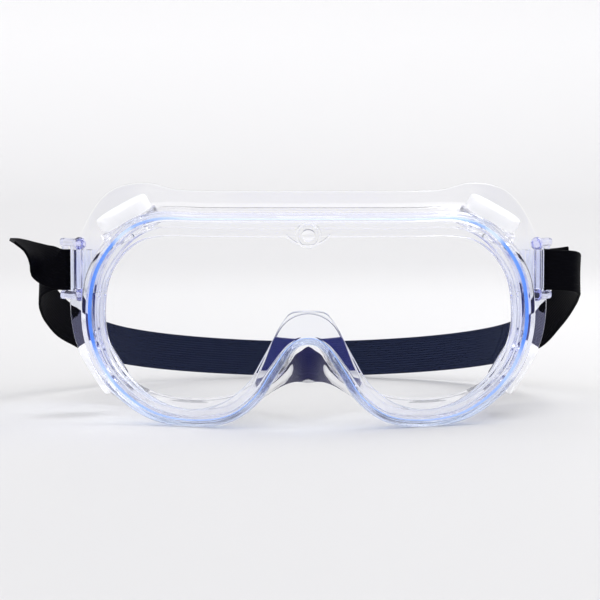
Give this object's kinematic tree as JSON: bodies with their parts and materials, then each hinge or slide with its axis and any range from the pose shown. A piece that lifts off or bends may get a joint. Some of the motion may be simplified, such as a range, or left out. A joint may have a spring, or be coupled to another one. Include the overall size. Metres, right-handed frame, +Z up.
{
  "type": "safety goggles",
  "caption": "Clear indirect-vent splash goggles: soft mask frame, wrap-round lens, vent caps, swivelling strap clips and an elastic headband.",
  "frame": {"origin": "on the surface the goggles stand on, at the middle of their footprint", "axes": "+X to the viewer's right as the lens is looked at, +Y from the lens back to the wearer, +Z up"},
  "size_m": [0.2083, 0.1579, 0.0826],
  "materials": {
    "soft_clear_pvc": "soft clear PVC, faint blue-violet tint, glossy",
    "clear_polycarbonate": "clear polycarbonate, polished",
    "clear_cap_plastic": "clear moulded plastic, glossy",
    "clear_clip_plastic": "clear moulded plastic, glossy, faint blue tint",
    "black_elastic": "black ribbed woven elastic, matt"
  },
  "bodies": {
    "mask": {"frame": "soft_clear_pvc", "lens": "clear_polycarbonate", "vent_cap_upper_left": "clear_cap_plastic", "vent_cap_upper_right": "clear_cap_plastic", "vent_cap_lower_left": "clear_cap_plastic", "vent_cap_lower_right": "clear_cap_plastic", "headband": "black_elastic"},
    "left_clip": {"strap_clip_left": "clear_clip_plastic"},
    "right_clip": {"strap_clip_right": "clear_clip_plastic"}
  },
  "joints": [
    {"name": "left_clip_swivel", "type": "hinge", "parent": "mask", "child": "left_clip", "pos_m": [-0.0835, -0.024, 0.051], "axis": [0, 0, 1], "range_deg": [-36, 69], "deforming": ["headband"]},
    {"name": "right_clip_swivel", "type": "hinge", "parent": "mask", "child": "right_clip", "pos_m": [0.0835, -0.024, 0.051], "axis": [0, 0, -1], "range_deg": [-24, 81], "deforming": ["headband"]}
  ]
}
